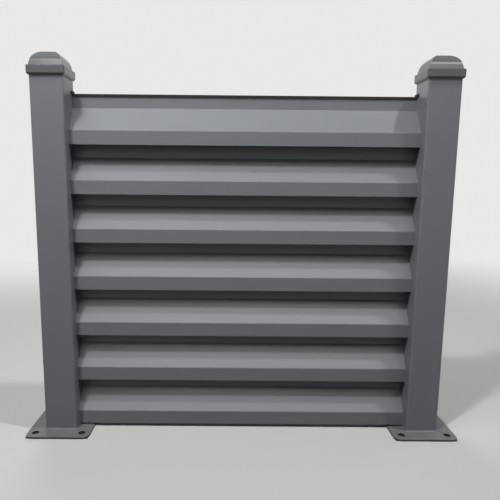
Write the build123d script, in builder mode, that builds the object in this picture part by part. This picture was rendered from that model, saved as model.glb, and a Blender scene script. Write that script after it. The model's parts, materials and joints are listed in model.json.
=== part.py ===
from build123d import *
from math import radians, tan
import os

# One free-standing bay of a louvred noise barrier, in millimetres, +Z up.
# X runs along the barrier and the louvres face -Y.
# The origin is on the ground under the middle of the bay.

os.makedirs("parts", exist_ok=True)

# Posts: square steel tube, welded to the base plates
clear_span = 640.0
post_width = 60.0
post_wall = 2.0
post_corner_radius = 4.0
post_length = 673.5

# Base plates, each with four open anchor holes
plate_width = 120.0
plate_thickness = 4.0
plate_corner_radius = 12.0
plate_edge_break = 0.5
bolt_hole_diameter = 13.0
bolt_edge_distance = 16.0

# Fillet weld round the foot of each post
weld_leg = 2.5
weld_toe = 0.4

# Post caps: a skirt with a bevelled foot that slips over the tube, and a mitred dome on a stepped ledge
cap_clearance = 0.3
cap_wall = 3.5
cap_skirt_height = 16.0
cap_roof_thickness = 3.0
cap_corner_radius = 4.0
cap_edge_break = 0.8
cap_foot_bevel = 2.8
cap_ledge_width = 4.0
cap_dome_rise = 27.5
cap_dome_lean = 12.0
cap_dome_flat = 8.0
cap_dome_wall = 3.0

# Louvre slats: folded sheet with a front lip, a slope and a rear flange
slat_count = 7
slat_thickness = 1.5
bend_radius = 2.0
lip_setback = 20.0
lip_height = 25.5
slope_rise = 42.0
slope_depth = 28.0
flange_height = 24.0
foot_gap = 0.5
headroom = 19.5

# Back sheet: a shallow tray with a return at each end
sheet_thickness = 1.5
return_depth = 9.5
notch_clearance = 0.3

# Rubber seals behind the slats' ends, each with a head over the top corner, and along the top edge
end_seal_thickness = 2.0
end_seal_head_width = 17.0
end_seal_rise = 5.0
end_seal_edge_radius = 1.0
top_seal_wall = 1.5
top_seal_leg = 4.5
top_seal_edge_radius = 1.0

# Places worked out from the sizes above
post_x = (clear_span + post_width) / 2
post_face_y = post_width / 2
post_top = plate_thickness + post_length
bolt_spacing = plate_width - 2 * bolt_edge_distance

cap_width = post_width + 2 * (cap_clearance + cap_wall)
cap_bottom = post_top + cap_roof_thickness - cap_skirt_height
cap_ledge = post_top + cap_roof_thickness
cap_dome_width = cap_width - 2 * cap_ledge_width
hollow_width = cap_dome_width - 2 * cap_dome_wall
hollow_height = cap_roof_thickness + cap_dome_rise - cap_dome_wall

# The panel hangs between the plates and the caps, and its slats share that height evenly
end_seal_top = cap_bottom - headroom
top_seal_top = end_seal_top - end_seal_rise
top_seal_bottom = top_seal_top - top_seal_leg
sheet_length = clear_span - 2 * end_seal_thickness
panel_bottom = plate_thickness + weld_leg + foot_gap
panel_top = top_seal_top - top_seal_wall
profile_height = lip_height + slope_rise + flange_height
slat_pitch = (panel_top - profile_height - panel_bottom) / (slat_count - 1)
lip_y = lip_setback - post_face_y
flange_y = lip_y + slope_depth
sheet_y = flange_y + slat_thickness
sheet_back_y = sheet_y + sheet_thickness
return_end_y = sheet_y + return_depth

top_seal_front_y = flange_y - top_seal_wall
top_seal_depth = slat_thickness + sheet_thickness + 2 * top_seal_wall

SIDES = {"left": -post_x, "right": post_x}


def write(piece, name):
    """Label a finished piece and write it to its own file."""
    piece.part.label = name
    export_step(piece.part, f"parts/{name}.step")


def domed_block(width, height):
    """A square block whose four leaning sides curve over to a small flat top and meet in mitred edges."""
    inset = height * tan(radians(cap_dome_lean))
    shoulder = width / 2 - inset - cap_dome_flat / 2
    radius = shoulder / tan(radians((90 - cap_dome_lean) / 2))
    with BuildPart() as block:
        with BuildSketch():
            Rectangle(width, width)
        extrude(amount=height, taper=cap_dome_lean)
        fillet(block.faces().sort_by(Axis.Z)[-1].edges(), radius)
    return block.part


# The caps' dome and the hollow inside it
dome = domed_block(cap_dome_width, cap_dome_rise)
hollow = domed_block(hollow_width, hollow_height)

# Posts and what stands on and under them
for side_name, x in SIDES.items():
    with BuildPart() as base_plate:
        with BuildSketch(Plane(origin=(x, 0, 0))):
            RectangleRounded(plate_width, plate_width, plate_corner_radius)
            with GridLocations(bolt_spacing, bolt_spacing, 2, 2):
                Circle(bolt_hole_diameter / 2, mode=Mode.SUBTRACT)
        extrude(amount=plate_thickness)
        chamfer(base_plate.faces().sort_by(Axis.Z)[-1].outer_wire().edges(), plate_edge_break)
    write(base_plate, f"{side_name}_base_plate")

    with BuildPart() as post:
        with BuildSketch(Plane(origin=(x, 0, plate_thickness))):
            RectangleRounded(post_width, post_width, post_corner_radius)
            bore = post_width - 2 * post_wall
            RectangleRounded(bore, bore, post_corner_radius - post_wall, mode=Mode.SUBTRACT)
        extrude(amount=post_length)
    write(post, f"{side_name}_post")

    with BuildPart() as foot_weld:
        foot = Plane(origin=(x, 0, plate_thickness))
        crown = foot.offset(weld_leg)
        weld_width = post_width + 2 * weld_leg
        crown_width = post_width + 2 * weld_toe
        with BuildSketch(foot):
            RectangleRounded(weld_width, weld_width, post_corner_radius + weld_leg)
        with BuildSketch(crown):
            RectangleRounded(crown_width, crown_width, post_corner_radius + weld_toe)
        loft()
        with BuildSketch(foot):
            RectangleRounded(post_width, post_width, post_corner_radius)
        extrude(amount=weld_leg, mode=Mode.SUBTRACT)
    write(foot_weld, f"{side_name}_foot_weld")

    with BuildPart() as post_cap:
        with BuildSketch(Plane(origin=(x, 0, cap_bottom))):
            RectangleRounded(cap_width, cap_width, cap_corner_radius)
        extrude(amount=cap_skirt_height)
        chamfer(post_cap.faces().sort_by(Axis.Z)[-1].edges(), cap_edge_break)
        chamfer(post_cap.faces().sort_by(Axis.Z)[0].edges(), cap_foot_bevel)
        with Locations((x, 0, cap_ledge)):
            add(dome)
        with BuildSketch(Plane(origin=(x, 0, cap_bottom))):
            socket_width = post_width + 2 * cap_clearance
            RectangleRounded(socket_width, socket_width, post_corner_radius + cap_clearance)
        extrude(amount=post_top - cap_bottom, mode=Mode.SUBTRACT)
        with Locations((x, 0, post_top)):
            add(hollow, mode=Mode.SUBTRACT)
    write(post_cap, f"{side_name}_post_cap")

    # The strip of rubber lies between the post's inner face and the back sheet's return
    inner_face_x = clear_span / 2 if x > 0 else -clear_span / 2
    inward = -end_seal_thickness if x > 0 else end_seal_thickness
    with BuildPart() as end_seal:
        with BuildSketch(Plane(origin=(inner_face_x, 0, 0), x_dir=(0, 1, 0), z_dir=(1, 0, 0))) as strip:
            with Locations((return_end_y, end_seal_top)):
                Rectangle(return_depth, end_seal_top - panel_bottom, align=(Align.MAX, Align.MAX))
                Rectangle(end_seal_head_width, end_seal_rise, align=(Align.MAX, Align.MAX))
            fillet(strip.vertices().group_by(Axis.Y)[-1], end_seal_edge_radius)
        extrude(amount=inward)
    write(end_seal, f"{side_name}_end_seal")

# Louvre slats, numbered from the top
outer_bend = bend_radius + slat_thickness
for index in range(slat_count):
    lip_foot = panel_bottom + (slat_count - 1 - index) * slat_pitch
    lip_fold = lip_foot + lip_height
    flange_fold = lip_fold + slope_rise
    with BuildPart() as slat:
        with BuildSketch(Plane.YZ.offset(-clear_span / 2)):
            with BuildLine():
                FilletPolyline(
                    (lip_y, lip_foot),
                    (lip_y, lip_fold),
                    (flange_y, flange_fold),
                    (flange_y, flange_fold + flange_height),
                    radius=[outer_bend, bend_radius],
                )
                offset(amount=slat_thickness, side=Side.RIGHT)
            make_face()
        extrude(amount=clear_span)
    write(slat, f"louvre_slat_{index + 1}")

# Back sheet behind the flanges, notched at its top corners for the top seal
with BuildPart() as back_sheet:
    with BuildSketch(Plane.XY.offset(panel_bottom)):
        with BuildLine():
            FilletPolyline(
                (-sheet_length / 2, return_end_y),
                (-sheet_length / 2, sheet_y),
                (sheet_length / 2, sheet_y),
                (sheet_length / 2, return_end_y),
                radius=bend_radius + sheet_thickness,
            )
            offset(amount=sheet_thickness, side=Side.LEFT)
        make_face()
    extrude(amount=panel_top - panel_bottom)
    with BuildSketch(Plane(origin=(0, sheet_back_y, top_seal_bottom - notch_clearance))):
        Rectangle(sheet_length, return_depth, align=(Align.CENTER, Align.MIN))
    extrude(amount=top_seal_leg, mode=Mode.SUBTRACT)
write(back_sheet, "back_sheet")

# Top seal: a channel of rubber pressed over the top slat's flange and the back sheet
with BuildPart() as top_seal:
    with BuildSketch(Plane.YZ.offset(-sheet_length / 2)) as channel:
        with Locations((top_seal_front_y, top_seal_bottom)):
            Rectangle(top_seal_depth, top_seal_leg, align=(Align.MIN, Align.MIN))
        fillet(channel.vertices().group_by(Axis.Y)[-1], top_seal_edge_radius)
        with Locations((flange_y, top_seal_bottom)):
            groove_depth = slat_thickness + sheet_thickness
            groove_height = top_seal_leg - top_seal_wall
            Rectangle(groove_depth, groove_height, align=(Align.MIN, Align.MIN), mode=Mode.SUBTRACT)
    extrude(amount=sheet_length)
write(top_seal, "top_edge_seal")
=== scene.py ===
"""Finishes, weld beads and studio for one bay of a louvred noise barrier."""

import json
import math

import bmesh
import bpy
from bpy.props import FloatProperty, FloatVectorProperty, PointerProperty
from mathutils import Matrix, Vector, noise


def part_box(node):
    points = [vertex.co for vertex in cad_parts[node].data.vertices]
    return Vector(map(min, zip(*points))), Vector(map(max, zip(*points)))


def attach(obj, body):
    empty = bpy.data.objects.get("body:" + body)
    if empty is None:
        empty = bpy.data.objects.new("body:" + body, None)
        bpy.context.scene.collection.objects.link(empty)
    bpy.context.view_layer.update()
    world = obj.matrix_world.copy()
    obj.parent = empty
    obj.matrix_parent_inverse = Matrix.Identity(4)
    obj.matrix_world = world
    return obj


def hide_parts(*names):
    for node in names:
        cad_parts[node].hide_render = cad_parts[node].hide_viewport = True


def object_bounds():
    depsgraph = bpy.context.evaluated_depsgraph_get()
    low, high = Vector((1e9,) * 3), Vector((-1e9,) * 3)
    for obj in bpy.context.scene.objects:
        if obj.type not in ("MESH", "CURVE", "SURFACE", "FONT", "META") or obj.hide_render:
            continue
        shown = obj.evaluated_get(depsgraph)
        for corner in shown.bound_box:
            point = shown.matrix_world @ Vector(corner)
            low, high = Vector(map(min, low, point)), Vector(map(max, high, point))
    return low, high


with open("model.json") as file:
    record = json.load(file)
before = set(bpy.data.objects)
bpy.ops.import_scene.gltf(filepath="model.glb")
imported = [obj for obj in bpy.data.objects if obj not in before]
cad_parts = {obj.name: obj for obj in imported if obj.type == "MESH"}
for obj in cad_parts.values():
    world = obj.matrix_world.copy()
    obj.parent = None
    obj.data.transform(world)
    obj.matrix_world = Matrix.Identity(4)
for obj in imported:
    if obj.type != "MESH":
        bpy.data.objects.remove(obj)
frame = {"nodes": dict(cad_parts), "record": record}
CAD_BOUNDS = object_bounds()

bl_info = {
    "name": "Noise Barrier Bay",
    "version": (1, 0, 0),
    "blender": (4, 5, 0),
    "location": "3D View > Sidebar > Barrier",
    "description": "Coats, seals and lights one bay of a louvred noise barrier",
    "category": "Object",
}

# Pieces of the frame, by what they are
SIDES = ("left", "right")
POSTS = [f"{side}_post" for side in SIDES]
PLATES = [f"{side}_base_plate" for side in SIDES]
CAPS = [f"{side}_post_cap" for side in SIDES]
SLATS = sorted(name for name in frame["nodes"] if name.startswith("louvre_slat_"))
SEALS = ["top_edge_seal"] + [f"{side}_end_seal" for side in SIDES]
SLOT_COLOURS = {slot["slot"]: slot["base_color"] for slot in frame["record"]["materials"]}

BODY = "root"
MM = 0.001

# From a slat's top down to the middle of its flange
FLANGE_MIDDLE = 12 * MM

# Widths and heights of the lamps, in metres
KEY_SIZE = (0.15, 0.15)
TOP_SIZE = (0.15, 0.15)
SIDE_SIZE = (0.8, 0.2)
CEILING_SIZE = (3.45, 0.8)
FRONT_SIZE = (1.4, 0.5)
BACK_SIZE = (1.6, 0.9)
END_SIZE = (1.2, 0.4)

# Sockets of a Mix node that is set to colours
MIX_A = 6
MIX_B = 7
MIX_RESULT = 2


# Settings


def colour(name, description, default):
    """A colour that the user can change."""
    return FloatVectorProperty(
        name=name, description=description, default=tuple(default), size=3, min=0, max=1, subtype="COLOR"
    )


def length(name, description, default):
    """A length that the user can change, in metres."""
    return FloatProperty(
        name=name, description=description, default=default, precision=5, subtype="DISTANCE", unit="LENGTH"
    )


def share(name, description, default):
    """A share from 0 to 1 that the user can change."""
    return FloatProperty(
        name=name, description=description, default=default, min=0, max=1, subtype="FACTOR"
    )


def power(name, description, default):
    """A lamp's power that the user can change, in watts."""
    return FloatProperty(
        name=name, description=description, default=default, min=0, subtype="POWER", unit="POWER"
    )


def position(name, description, default):
    """A place that the user can change, in metres."""
    return FloatVectorProperty(
        name=name, description=description, default=default, size=3, subtype="TRANSLATION", unit="LENGTH"
    )


def angle(name, description, default):
    """An angle that the user can change, given here in degrees."""
    return FloatProperty(
        name=name, description=description, default=math.radians(default), subtype="ANGLE", unit="ROTATION"
    )


class BarrierFinish(bpy.types.PropertyGroup):
    """Colours and surfaces of the barrier"""

    steel_colour: colour("Steel coat", "Powder coat of posts, plates and welds", SLOT_COLOURS["steel_coat"])
    sheet_colour: colour("Sheet coat", "Powder coat of slats and back sheet", SLOT_COLOURS["sheet_coat"])
    cap_colour: colour("Cap moulding", "Moulded post caps", SLOT_COLOURS["cap_moulding"])
    rubber_colour: colour("Seal rubber", "Rubber of the seals", SLOT_COLOURS["seal_rubber"])
    dust_colour: colour("Dust", "Fine dust on faces that look up", (0.36, 0.35, 0.33))
    # Partly floor dirt and partly painted shade, darkening the base plates' level faces.
    soil_and_shade_colour: colour("Soil", "Film of floor dirt on the base plates", (0.075, 0.0745, 0.07))
    # Painted shade along the base plates' upright edges, standing in for the shadow where they meet the
    # floor.
    painted_edge_shade: colour("Soiled edge", "Dirt along the base plates' edges", (0.02, 0.02, 0.02))
    coat_roughness: share("Coat roughness", "Roughness of the powder coat", 0.42)
    cap_roughness: share("Cap roughness", "Roughness of the moulded caps", 0.16)
    rubber_roughness: share("Rubber roughness", "Roughness of the rubber seals", 0.78)
    dust_share: share("Dust share", "How much of the colour is dust on level faces", 0.03)
    # Share of the base plates' colour that is floor dirt and painted shade.
    soil_and_shade_share: share("Soil share", "How much of the base plates' colour is soil", 0.6)
    peel_size: length("Peel size", "Width of the soft waves in the coat", 3 * MM)
    peel_height: length("Peel height", "Height of the soft waves in the coat", 0.03 * MM)


class BarrierDetail(bpy.types.PropertyGroup):
    """Small shapes on the barrier"""

    post_corner: length("Post corner", "Radius of the corners of the posts' tube", 4 * MM)
    ripple_pitch: length("Ripple pitch", "Distance between ripples along the weld", 1.8 * MM)
    ripple_height: length("Ripple height", "Height of the ripples on the weld", 0.12 * MM)
    spot_spacing: length("Spot spacing", "Distance between spot welds on the back sheet", 106 * MM)
    spot_width: length("Spot width", "Width of one spot weld's dimple", 7 * MM)
    spot_depth: length("Spot depth", "Depth of one spot weld's dimple", 0.25 * MM)


class BarrierStage(bpy.types.PropertyGroup):
    """Floor, light and camera"""

    floor_colour: colour("Floor", "Floor as the camera sees it", (0.4, 0.398, 0.393))
    bounce_colour: colour("Floor bounce", "Floor as it lights the barrier from below", (0.04, 0.04, 0.04))
    backdrop_colour: colour("Backdrop", "Backdrop as the camera sees it", (0.82, 0.81, 0.8))
    # Painted shade: a near-black patch of floor under the plates, so that their holes look shaded.
    hole_shade_colour: colour("Footing", "Floor under the plates, seen in their holes", (0.05, 0.05, 0.05))
    ceiling_colour: colour("Ceiling", "Dark studio ceiling, as gloss mirrors it", (0.1, 0.1, 0.1))
    sky_colour: colour("Sky light", "Even light from all round", (0.03, 0.03, 0.03))
    key_place: position("Key lamp", "Where the key lamp hangs, over the front left", (-0.72, -0.98, 2.4))
    key_power: power("Key power", "Power of the key lamp", 38.0)
    top_place: position("Top lamp", "Where the top lamp hangs, high over the right", (1.15, -0.47, 2.5))
    top_power: power("Top power", "Power of the top lamp", 41.0)
    side_place: position("Side softbox", "Where it hangs, close over the left half", (-0.45, -0.45, 1.4))
    side_power: power("Side power", "Power of the side softbox", 7.0)
    back_place: position("Back softbox", "Where the softbox hangs that lights the back", (-0.9, 2.6, 1.1))
    back_power: power("Back power", "Power of the back softbox", 60.0)
    end_place: position("End softbox", "Where the softbox hangs that lights the right end", (2.4, 1.0, 0.4))
    end_power: power("End power", "Power of the end softbox", 20.0)
    ceiling_place: position("Ceiling panel", "Where the panel hangs that slopes mirror", (0.25, -2.0, 2.6))
    ceiling_power: power("Ceiling panel power", "Power of the panel that the slopes mirror", 55.0)
    front_place: position("Front panel", "Where the panel hangs that lights the gaps", (-0.7, -2.63, 1.62))
    front_power: power("Front panel power", "Power of the panel that lights into the gaps", 4.0)
    camera_place: position("Camera place", "Where the camera stands", (-0.0289, -0.9164, 0.4901))
    camera_pitch: angle("Camera pitch", "How far the camera looks down", 8.476)
    camera_yaw: angle("Camera yaw", "How far the camera looks to the right", 0.219)
    camera_roll: angle("Camera roll", "How far the camera leans", 0.507)
    camera_lens: FloatProperty(
        name="Lens",
        description="Focal length",
        default=35.13,
        min=1,
        subtype="DISTANCE_CAMERA",
        unit="CAMERA",
    )
    camera_shift: FloatProperty(name="Lens shift", description="Sideways shift of the lens", default=0.04)


# Shader sums


class Signal:
    """A shader socket that takes part in Python sums; each sum adds its Math node."""

    def __init__(self, recipe, socket):
        self.recipe = recipe
        self.socket = socket

    def math(self, operation, first, second):
        return self.recipe.node("ShaderNodeMath", {"operation": operation}, {0: first, 1: second})

    def __add__(self, other):
        return self.math("ADD", self, other)

    def __radd__(self, other):
        return self.math("ADD", other, self)

    def __sub__(self, other):
        return self.math("SUBTRACT", self, other)

    def __rsub__(self, other):
        return self.math("SUBTRACT", other, self)

    def __mul__(self, other):
        return self.math("MULTIPLY", self, other)

    def __rmul__(self, other):
        return self.math("MULTIPLY", other, self)

    def __pow__(self, other):
        return self.math("POWER", self, other)

    def __rpow__(self, other):
        return self.math("POWER", other, self)


class Recipe:
    """The node tree of one material or of the world."""

    def __init__(self, tree):
        self.tree = tree
        self.tree.nodes.clear()

    def node(self, kind, settings=None, sockets=None, output=0):
        """Add a node: its settings first, then values or links for its sockets."""
        node = self.tree.nodes.new(kind)
        for name, value in (settings or {}).items():
            setattr(node, name, value)
        for key, value in (sockets or {}).items():
            if isinstance(value, Signal):
                self.tree.links.new(value.socket, node.inputs[key])
            else:
                node.inputs[key].default_value = value
        return Signal(self, node.outputs[output]) if node.outputs else None

    def place(self):
        """Coordinates in the barrier's own frame, in metres."""
        return self.node("ShaderNodeTexCoord", output="Object")

    def axis(self, vector, name):
        """One of a vector's X, Y and Z."""
        return self.node("ShaderNodeSeparateXYZ", sockets={"Vector": vector}, output=name)

    def up(self):
        """How far the face looks up, from -1 to 1."""
        return self.axis(self.node("ShaderNodeNewGeometry", output="Normal"), "Z")

    def shown(self):
        """1 on rays from the camera and on mirrored or transmitted ones, 0 on rays that only light."""
        kinds = ("Is Camera Ray", "Is Glossy Ray", "Is Transmission Ray")
        seen, mirrored, passed = (self.node("ShaderNodeLightPath", output=kind) for kind in kinds)
        return seen + mirrored + passed

    def wrap(self, value, span):
        """A value that repeats within half a span either side of 0."""
        return self.node("ShaderNodeMath", {"operation": "WRAP"}, {0: value, 1: span / 2, 2: -span / 2})

    def magnitude(self, value):
        """A value without its sign."""
        return self.node("ShaderNodeMath", {"operation": "ABSOLUTE"}, {0: value})

    def cloud(self, place, size, detail=2.0, roughness=0.5):
        """Soft noise whose lumps are about this size, in metres."""
        sockets = {"Vector": place, "Scale": 1 / size, "Detail": detail, "Roughness": roughness}
        return self.node("ShaderNodeTexNoise", sockets=sockets, output="Fac")

    def rise(self, value, low, high):
        """0 below low, 1 above high and a smooth step between."""
        sockets = {"Value": value, "From Min": low, "From Max": high}
        return self.node("ShaderNodeMapRange", {"interpolation_type": "SMOOTHSTEP"}, sockets)

    def blend(self, factor, first, second):
        """A colour between two others."""
        sockets = {0: factor, MIX_A: first, MIX_B: second}
        return self.node("ShaderNodeMix", {"data_type": "RGBA"}, sockets, MIX_RESULT)

    def bump(self, height, distance):
        """A normal that follows a height from 0 to 1 over this distance, in metres."""
        return self.node("ShaderNodeBump", sockets={"Height": height, "Distance": distance})

    def surface(self, shader):
        """Make this shader the one that shows."""
        self.node("ShaderNodeOutputMaterial", sockets={"Surface": shader})

    def coat(self, base, roughness, normal):
        """Show a surface of this colour, roughness and normal."""
        sockets = {"Base Color": base, "Roughness": roughness, "Normal": normal}
        self.surface(self.node("ShaderNodeBsdfPrincipled", sockets=sockets))


def new_material(name):
    """An empty material and the recipe for its nodes."""
    material = bpy.data.materials.new(name)
    material.use_nodes = True
    return material, Recipe(material.node_tree)


def rgba(base, tone=1.0):
    """A colour with its alpha, made lighter or darker by tone."""
    return (base[0] * tone, base[1] * tone, base[2] * tone, 1.0)


# Finishes

# Widths of the patches and grains
DUST_PATCH = 35 * MM
SOIL_PATCH = 20 * MM
COAT_DRIFT = 120 * MM
COAT_GRAIN = 0.9 * MM
CAP_DRIFT = 30 * MM
CAP_ETCH = 0.6 * MM
RUBBER_BLOOM = 20 * MM
RUBBER_GRAIN = 0.8 * MM

# Heights of the grains
CAP_ETCH_HEIGHT = 0.004 * MM
RUBBER_GRAIN_HEIGHT = 0.03 * MM

# Values between which a mask goes from none to full: of noise, and of how far a face looks up
DUST_RANGE = (0.3, 0.75)
DUST_LEVEL = (0.2, 0.95)
SOIL_RANGE = (0.3, 0.7)
# How far a face looks up where the base plates' upright edges stop getting painted shade.
EDGE_SHADE_LEVEL = (0.2, 0.8)
SPECKLE_RANGE = (0.55, 0.75)
BLOOM_RANGE = (0.4, 0.8)

# Tones, as parts of the colour that is written
COAT_TONES = (0.93, 1.07)
SPECKLE_TONE = 1.25
CAP_TONES = (0.76, 0.88)
BLOOM_TONE = 2.2

# Shares of a whole
THINNEST_DUST = 0.4
# Least share of floor dirt and painted shade on the base plates' level faces.
THINNEST_DIRT_AND_SHADE = 0.85
SOIL_SPREAD = 0.3
SPECKLE_SHARE = 0.25
PEEL_PART = 0.8
BLOOM_SHARE = 0.5
DIMPLE_FLOOR = 0.6

# What is added to a roughness
ROUGHNESS_DRIFT = 0.06
DUST_ROUGHENS = 0.05
DUST_ROUGHENS_CAP = 0.08
BLOOM_ROUGHENS = 0.1


def dusted(recipe, place, base, finish):
    """Lay patchy dust over a colour where the face looks up; gives the colour and the dust's mask."""
    patches = recipe.rise(recipe.cloud(place, DUST_PATCH, detail=4.0, roughness=0.6), *DUST_RANGE)
    mask = recipe.rise(recipe.up(), *DUST_LEVEL) * (THINNEST_DUST + (1 - THINNEST_DUST) * patches)
    return recipe.blend(mask * finish.dust_share, base, rgba(finish.dust_colour)), mask


def soil_and_shade(recipe, place, base, finish):
    """Work floor dirt and painted shade into a colour: an uneven darker layer on faces that look up, partly
    dirt and partly painted shade, and painted shade on upright edges.
    """
    patches = recipe.rise(recipe.cloud(place, SOIL_PATCH, detail=4.0, roughness=0.6), *SOIL_RANGE)
    dirt_and_shade_amount = finish.soil_and_shade_share * (THINNEST_DIRT_AND_SHADE + SOIL_SPREAD * patches)
    film = recipe.blend(dirt_and_shade_amount, base, rgba(finish.soil_and_shade_colour))
    # Painted shade: upright faces of the plates turn near black, standing in for the shadow at the floor.
    return recipe.blend(recipe.rise(recipe.up(), *EDGE_SHADE_LEVEL), rgba(finish.painted_edge_shade), film)


def spot_weld_dimples(recipe, place, rows, detail):
    """A mask of the dimples that spot welds leave in rows along the back sheet."""
    first, last = rows[0], rows[-1]
    pitch = (last - first) / (len(rows) - 1)
    along = recipe.wrap(recipe.axis(place, "X"), detail.spot_spacing)
    upward = recipe.wrap(recipe.axis(place, "Z") - first, pitch)
    distance = (along * along + upward * upward) ** 0.5
    rim = detail.spot_width / 2
    return 1 - recipe.rise(distance, rim * DIMPLE_FLOOR, rim)


def powder_coat(name, base, finish, dimples=None, dirt_and_shade=False):
    """Satin powder coat with a soft waviness, a fine grain, slow changes of tone and a little dust.

    A coat with dimples has rows of spot welds, and the base plates' coat has floor dirt and painted shade:
    a darker layer on level faces and painted shade on upright edges.
    """
    material, recipe = new_material(name)
    place = recipe.place()
    drift = recipe.cloud(place, COAT_DRIFT, detail=3.0)
    grain = recipe.cloud(place, COAT_GRAIN, detail=1.0)
    peel = recipe.cloud(place, finish.peel_size, detail=1.0)
    toned = recipe.blend(drift, *(rgba(base, tone) for tone in COAT_TONES))
    speckles = recipe.rise(grain, *SPECKLE_RANGE) * SPECKLE_SHARE
    speckled = recipe.blend(speckles, toned, rgba(base, SPECKLE_TONE))
    coated, dust = dusted(recipe, place, speckled, finish)
    # Base plates: floor dirt and painted shade darken the level faces, and painted shade darkens the
    # upright edges.
    if dirt_and_shade:
        coated = soil_and_shade(recipe, place, coated, finish)
    smoothest = finish.coat_roughness - ROUGHNESS_DRIFT / 2
    roughness = smoothest + drift * ROUGHNESS_DRIFT + dust * DUST_ROUGHENS
    height = peel * PEEL_PART + grain * (1 - PEEL_PART)
    if dimples:
        rows, detail = dimples
        dimple = spot_weld_dimples(recipe, place, rows, detail)
        height = height - dimple * (detail.spot_depth / finish.peel_height)
    recipe.coat(coated, roughness, recipe.bump(height, finish.peel_height))
    return material


def cap_moulding(name, finish):
    """Semi-gloss moulding with a fine etched grain."""
    material, recipe = new_material(name)
    place = recipe.place()
    drift = recipe.cloud(place, CAP_DRIFT)
    etch = recipe.cloud(place, CAP_ETCH)
    toned = recipe.blend(drift, *(rgba(finish.cap_colour, tone) for tone in CAP_TONES))
    coated, dust = dusted(recipe, place, toned, finish)
    smoothest = finish.cap_roughness - ROUGHNESS_DRIFT / 2
    roughness = smoothest + drift * ROUGHNESS_DRIFT + dust * DUST_ROUGHENS_CAP
    recipe.coat(coated, roughness, recipe.bump(etch, CAP_ETCH_HEIGHT))
    return material


def seal_rubber(name, finish):
    """Matt black rubber with a fine grain and a pale bloom."""
    material, recipe = new_material(name)
    place = recipe.place()
    bloom = recipe.rise(recipe.cloud(place, RUBBER_BLOOM, detail=4.0, roughness=0.65), *BLOOM_RANGE)
    grain = recipe.cloud(place, RUBBER_GRAIN)
    bloomed = rgba(finish.rubber_colour, BLOOM_TONE)
    toned = recipe.blend(bloom * BLOOM_SHARE, rgba(finish.rubber_colour), bloomed)
    coated, dust = dusted(recipe, place, toned, finish)
    roughness = finish.rubber_roughness + bloom * BLOOM_ROUGHENS + dust * DUST_ROUGHENS
    recipe.coat(coated, roughness, recipe.bump(grain, RUBBER_GRAIN_HEIGHT))
    return material


def dress(names, material):
    """Give CAD nodes a material."""
    for name in names:
        slots = frame["nodes"][name].data.materials
        slots.clear()
        slots.append(material)


# Weld beads

# How finely the bead is divided, along it and across its face
BEAD_STEP = 0.5 * MM
BEAD_FACE_POINTS = 9

# How the bead wanders: over what length, how wide it is as a part of its leg, and by how much that varies
BEAD_WANDER = 9 * MM
BEAD_REACH = 0.93
BEAD_SWAY = 0.07

# How far the ripples bow back at the bead's edges and how unevenly they follow each other, in ripples
RIPPLE_BOW = 0.6
RIPPLE_SWAY = 0.15


def rounded_square(half, radius, step):
    """Points round a square with rounded corners, with each one's outward direction and distance along."""
    straight = half - radius
    run = 2 * straight
    arc = math.pi / 2 * radius
    loop = 4 * (run + arc)
    count = round(loop / step)
    points = []
    for index in range(count):
        along = loop * index / count
        side, rest = divmod(along, run + arc)
        turn = Matrix.Rotation(side * math.pi / 2, 3, "Z")
        if rest < run:
            point = Vector((half, rest - straight, 0))
            outward = Vector((1, 0, 0))
        else:
            bend = (rest - run) / radius
            outward = Vector((math.cos(bend), math.sin(bend), 0))
            point = Vector((straight, straight, 0)) + outward * radius
        points.append((turn @ point, turn @ outward, along))
    return points


def foot_bead(side, detail):
    """The rippled, hollow-faced fillet weld round the foot of one post."""
    low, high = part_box(f"{side}_foot_weld")
    post_low, post_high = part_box(f"{side}_post")
    centre = Vector(((low.x + high.x) / 2, (low.y + high.y) / 2, low.z))
    leg = high.z - low.z
    half = (post_high.x - post_low.x) / 2
    bm = bmesh.new()
    rings = []
    for point, outward, along in rounded_square(half, detail.post_corner, BEAD_STEP):
        wander = noise.noise(Vector((point.x, point.y, centre.x)) / BEAD_WANDER)
        reach = leg * (BEAD_REACH + BEAD_SWAY * wander)
        ring = [bm.verts.new(centre + point)]
        for index in range(BEAD_FACE_POINTS):
            fall = index / (BEAD_FACE_POINTS - 1)
            bow = RIPPLE_BOW * (2 * fall - 1) ** 2
            ripple = along / detail.ripple_pitch + bow + RIPPLE_SWAY * wander
            wave = abs(math.sin(math.pi * ripple))
            swell = detail.ripple_height * wave * math.sin(math.pi * fall)
            turn = fall * math.pi / 2
            out = reach * (1 - math.cos(turn)) + swell * math.cos(turn)
            up = reach * (1 - math.sin(turn)) + swell * math.sin(turn)
            ring.append(bm.verts.new(centre + point + outward * out + Vector((0, 0, up))))
        rings.append(ring)
    for ring, following in zip(rings, rings[1:] + rings[:1]):
        for index in range(len(ring)):
            after = (index + 1) % len(ring)
            bm.faces.new((ring[index], following[index], following[after], ring[after]))
    bmesh.ops.recalc_face_normals(bm, faces=bm.faces)
    mesh = bpy.data.meshes.new(f"{side}_foot_bead")
    bm.to_mesh(mesh)
    bm.free()
    mesh.shade_smooth()
    bead = bpy.data.objects.new(mesh.name, mesh)
    bpy.context.scene.collection.objects.link(bead)
    return bead


# Stage

# Floor: its size, how far out it fades from solid to clear, and how the painted shade under the plates ends
FLOOR_RADIUS = 12.0
FLOOR_SEGMENTS = 128
FLOOR_FADE = (1.0, 2.6)
FOOTPRINT_INSET = 1 * MM
FOOTPRINT_EDGE = 0.5 * MM

# How high the backdrop turns into the ceiling, as the upward part of a direction
CEILING_RANGE = (0.3, 0.6)


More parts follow.
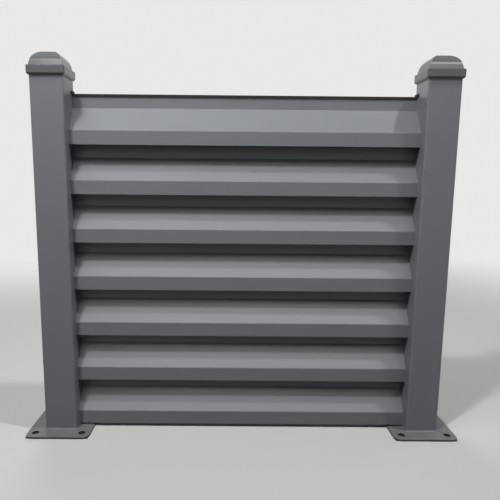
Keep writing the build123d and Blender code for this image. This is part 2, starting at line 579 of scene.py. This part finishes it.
def shaded_footprint(recipe, place):
    """A mask of the floor that the two base plates cover, where shade is painted so that their holes look
    dark.
    """
    low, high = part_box("right_base_plate")
    middle = (low + high) / 2
    half = (high - low) / 2 - Vector((1, 1, 0)) * FOOTPRINT_INSET
    outward = recipe.magnitude(recipe.axis(place, "X"))
    across = recipe.magnitude(outward - middle.x)
    deep = recipe.magnitude(recipe.axis(place, "Y") - middle.y)
    within_width = 1 - recipe.rise(across, half.x - FOOTPRINT_EDGE, half.x)
    within_depth = 1 - recipe.rise(deep, half.y - FOOTPRINT_EDGE, half.y)
    return within_width * within_depth


def studio_floor(stage):
    """A wide round floor that fades into the backdrop, with painted shade under the base plates."""
    bm = bmesh.new()
    bmesh.ops.create_circle(bm, cap_ends=True, segments=FLOOR_SEGMENTS, radius=FLOOR_RADIUS)
    mesh = bpy.data.meshes.new("studio_floor")
    bm.to_mesh(mesh)
    bm.free()
    floor = bpy.data.objects.new("studio_floor", mesh)
    bpy.context.scene.collection.objects.link(floor)

    material, recipe = new_material("studio_floor")
    place = recipe.place()
    tone = recipe.blend(recipe.shown(), rgba(stage.bounce_colour), rgba(stage.floor_colour))
    # Painted shade: the patch under each plate, seen through the plates' holes.
    hole_shaded = recipe.blend(shaded_footprint(recipe, place), tone, rgba(stage.hole_shade_colour))
    paint = recipe.node("ShaderNodeBsdfDiffuse", sockets={"Color": hole_shaded})
    reach = recipe.node("ShaderNodeVectorMath", {"operation": "LENGTH"}, {0: place}, "Value")
    fade = recipe.rise(reach, *FLOOR_FADE)
    clear = recipe.node("ShaderNodeBsdfTransparent")
    recipe.surface(recipe.node("ShaderNodeMixShader", sockets={0: fade, 1: paint, 2: clear}))
    mesh.materials.append(material)


def studio_world(stage):
    """Even light all round, and for the camera and for gloss a pale backdrop under a dark ceiling."""
    world = bpy.data.worlds.new("studio")
    world.use_nodes = True
    recipe = Recipe(world.node_tree)
    upward = recipe.axis(recipe.node("ShaderNodeTexCoord", output="Generated"), "Z")
    overhead = recipe.rise(upward, *CEILING_RANGE)
    room = recipe.blend(overhead, rgba(stage.backdrop_colour), rgba(stage.ceiling_colour))
    tone = recipe.blend(recipe.shown(), rgba(stage.sky_colour), room)
    shade = recipe.node("ShaderNodeBackground", sockets={"Color": tone})
    recipe.node("ShaderNodeOutputWorld", sockets={"Surface": shade})
    bpy.context.scene.world = world


def studio_lamp(name, place, size, watts, lit=True, mirrored=False):
    """A lamp that looks at the middle of the barrier: it lights faces, or gloss mirrors it, or both."""
    light = bpy.data.lights.new(name, "AREA")
    light.shape = "RECTANGLE"
    light.size, light.size_y = size
    light.energy = watts
    lamp = bpy.data.objects.new(name, light)
    bpy.context.scene.collection.objects.link(lamp)
    low, high = CAD_BOUNDS
    lamp.location = place
    lamp.rotation_mode = "QUATERNION"
    lamp.rotation_quaternion = (lamp.location - (low + high) / 2).to_track_quat("Z", "Y")
    lamp.visible_camera = False
    lamp.visible_diffuse = lit
    lamp.visible_glossy = mirrored


def studio_camera(stage):
    """The camera at the photograph's place and angle."""
    lens = bpy.data.cameras.new("camera")
    lens.lens = stage.camera_lens
    lens.shift_x = stage.camera_shift
    camera = bpy.data.objects.new("camera", lens)
    bpy.context.scene.collection.objects.link(camera)
    yaw = Matrix.Rotation(-stage.camera_yaw, 4, "Z")
    pitch = Matrix.Rotation(math.pi / 2 - stage.camera_pitch, 4, "X")
    roll = Matrix.Rotation(stage.camera_roll, 4, "Z")
    camera.matrix_world = Matrix.Translation(stage.camera_place) @ yaw @ pitch @ roll
    bpy.context.scene.camera = camera


# Operators


class BARRIER_OT_coat_posts(bpy.types.Operator):
    """Powder coat the posts and the base plates"""

    bl_idname = "barrier.coat_posts"
    bl_label = "Coat posts and plates"

    def execute(self, context):
        finish = context.scene.barrier_finish
        dress(POSTS, powder_coat("steel_coat", finish.steel_colour, finish))
        # The plates' coat carries painted shade as well as floor dirt.
        dress(PLATES, powder_coat("plate_coat", finish.steel_colour, finish, dirt_and_shade=True))
        return {"FINISHED"}


class BARRIER_OT_lay_foot_beads(bpy.types.Operator):
    """Lay a rippled weld bead round the foot of each post"""

    bl_idname = "barrier.lay_foot_beads"
    bl_label = "Lay foot beads"

    def execute(self, context):
        coat = bpy.data.materials["steel_coat"]
        for side in SIDES:
            bead = foot_bead(side, context.scene.barrier_detail)
            bead.data.materials.append(coat)
            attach(bead, BODY)
            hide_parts(f"{side}_foot_weld")
        return {"FINISHED"}


class BARRIER_OT_coat_slats(bpy.types.Operator):
    """Powder coat the slats and the back sheet"""

    bl_idname = "barrier.coat_slats"
    bl_label = "Coat slats and back sheet"

    def execute(self, context):
        finish = context.scene.barrier_finish
        detail = context.scene.barrier_detail
        dress(SLATS, powder_coat("slat_coat", finish.sheet_colour, finish))
        flange_middles = sorted(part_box(name)[1].z - FLANGE_MIDDLE for name in SLATS)
        dimples = (flange_middles, detail)
        dress(["back_sheet"], powder_coat("back_coat", finish.sheet_colour, finish, dimples=dimples))
        return {"FINISHED"}


class BARRIER_OT_mould_caps(bpy.types.Operator):
    """Give the post caps their moulded finish"""

    bl_idname = "barrier.mould_caps"
    bl_label = "Mould caps"

    def execute(self, context):
        dress(CAPS, cap_moulding("cap_moulding", context.scene.barrier_finish))
        return {"FINISHED"}


class BARRIER_OT_fit_seals(bpy.types.Operator):
    """Give the seals their rubber"""

    bl_idname = "barrier.fit_seals"
    bl_label = "Fit seals"

    def execute(self, context):
        dress(SEALS, seal_rubber("seal_rubber", context.scene.barrier_finish))
        return {"FINISHED"}


class BARRIER_OT_set_stage(bpy.types.Operator):
    """Set up the floor, the light and the camera"""

    bl_idname = "barrier.set_stage"
    bl_label = "Set stage"

    def execute(self, context):
        stage = context.scene.barrier_stage
        studio_floor(stage)
        studio_world(stage)
        studio_lamp("key_lamp", stage.key_place, KEY_SIZE, stage.key_power)
        studio_lamp("top_lamp", stage.top_place, TOP_SIZE, stage.top_power)
        studio_lamp("side_softbox", stage.side_place, SIDE_SIZE, stage.side_power)
        studio_lamp("back_softbox", stage.back_place, BACK_SIZE, stage.back_power)
        studio_lamp("end_softbox", stage.end_place, END_SIZE, stage.end_power)
        studio_lamp("front_panel", stage.front_place, FRONT_SIZE, stage.front_power, mirrored=True)
        ceiling = (stage.ceiling_place, CEILING_SIZE, stage.ceiling_power)
        studio_lamp("ceiling_panel", *ceiling, lit=False, mirrored=True)
        studio_camera(stage)
        context.scene.view_settings.view_transform = "Standard"
        return {"FINISHED"}


OPERATORS = (
    BARRIER_OT_coat_posts,
    BARRIER_OT_lay_foot_beads,
    BARRIER_OT_coat_slats,
    BARRIER_OT_mould_caps,
    BARRIER_OT_fit_seals,
    BARRIER_OT_set_stage,
)


class BARRIER_PT_bay(bpy.types.Panel):
    """Lists the settings and the steps that finish the barrier"""

    bl_idname = "BARRIER_PT_bay"
    bl_label = "Noise barrier bay"
    bl_space_type = "VIEW_3D"
    bl_region_type = "UI"
    bl_category = "Barrier"

    def draw(self, context):
        for group in ("barrier_finish", "barrier_detail", "barrier_stage"):
            settings = getattr(context.scene, group)
            column = self.layout.column()
            for name in settings.__annotations__:
                column.prop(settings, name)
        for operator in OPERATORS:
            self.layout.operator(operator.bl_idname)


CLASSES = (BarrierFinish, BarrierDetail, BarrierStage) + OPERATORS + (BARRIER_PT_bay,)


def register():
    for item in CLASSES:
        bpy.utils.register_class(item)
    bpy.types.Scene.barrier_finish = PointerProperty(type=BarrierFinish)
    bpy.types.Scene.barrier_detail = PointerProperty(type=BarrierDetail)
    bpy.types.Scene.barrier_stage = PointerProperty(type=BarrierStage)


def unregister():
    del bpy.types.Scene.barrier_stage
    del bpy.types.Scene.barrier_detail
    del bpy.types.Scene.barrier_finish
    for item in reversed(CLASSES):
        bpy.utils.unregister_class(item)


def main():
    register()
    bpy.ops.barrier.coat_posts()
    bpy.ops.barrier.lay_foot_beads()
    bpy.ops.barrier.coat_slats()
    bpy.ops.barrier.mould_caps()
    bpy.ops.barrier.fit_seals()
    bpy.ops.barrier.set_stage()


if __name__ == "__main__":
    main()
